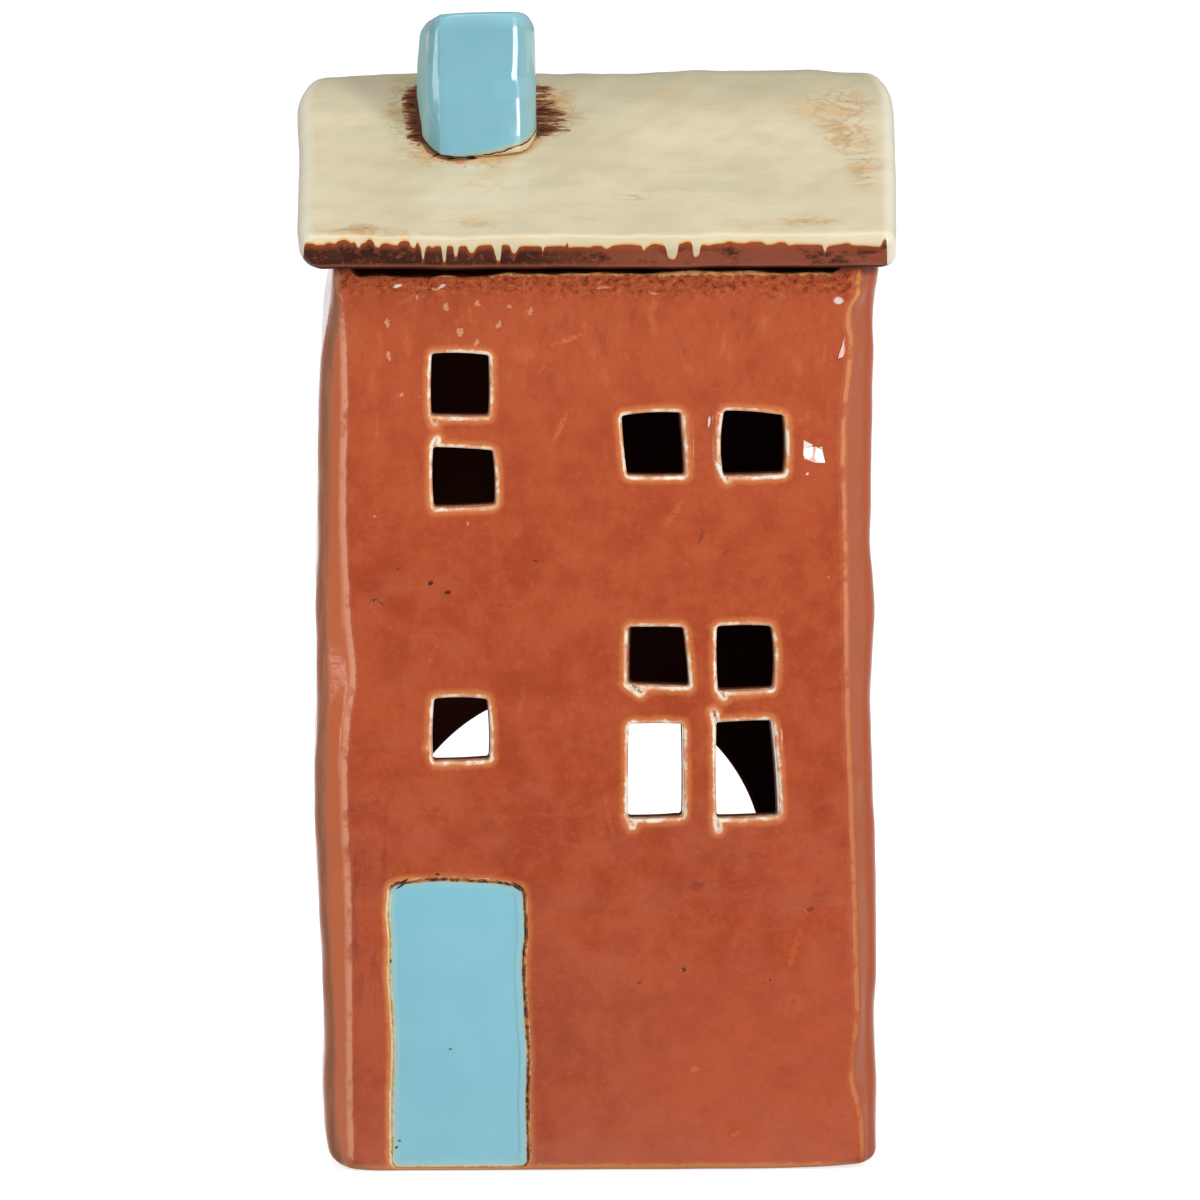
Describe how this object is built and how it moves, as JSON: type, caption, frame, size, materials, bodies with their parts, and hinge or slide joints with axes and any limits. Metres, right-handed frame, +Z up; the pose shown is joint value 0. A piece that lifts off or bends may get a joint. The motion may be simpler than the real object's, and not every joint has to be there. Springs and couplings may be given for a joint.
{
  "type": "tealight house",
  "caption": "Narrow glazed clay house for a tealight, with cut windows, blue door and chimney, cream gable roof and an arched opening at the back.",
  "frame": {"origin": "middle of the four walls' footprint, on the surface that the house stands on", "axes": "+Z up, the door and the front windows face -Y, +X is to the right of someone facing the door"},
  "size_m": [0.0972, 0.087, 0.1854],
  "materials": {
    "terracotta_glaze": "glossy terracotta glaze, mottled, thin and pale at the edges",
    "cream_glaze": "glossy cream glaze with a dark brown eave",
    "blue_glaze": "glossy sky blue glaze",
    "bisque": "thinly glazed red clay",
    "cup_foil": "thin pressed foil",
    "candle_wax": "white paraffin wax",
    "wick_cotton": "waxed cotton braid",
    "tab_steel": "thin tinned steel"
  },
  "bodies": {
    "house": {"base_slab": "bisque", "front_wall": "terracotta_glaze", "back_wall": "terracotta_glaze", "left_wall": "terracotta_glaze", "right_wall": "terracotta_glaze", "roof_front": "cream_glaze", "roof_back": "cream_glaze", "chimney": "blue_glaze", "door_panel": "blue_glaze"},
    "tealight": {"tealight_cup": "cup_foil", "tealight_wax": "candle_wax", "tealight_wick": "wick_cotton", "wick_sustainer": "tab_steel"}
  },
  "joints": [
    {"name": "tealight_slide", "type": "slide", "parent": "house", "child": "tealight", "axis": [0, 1, 0], "range_m": [0, 0.075]}
  ]
}
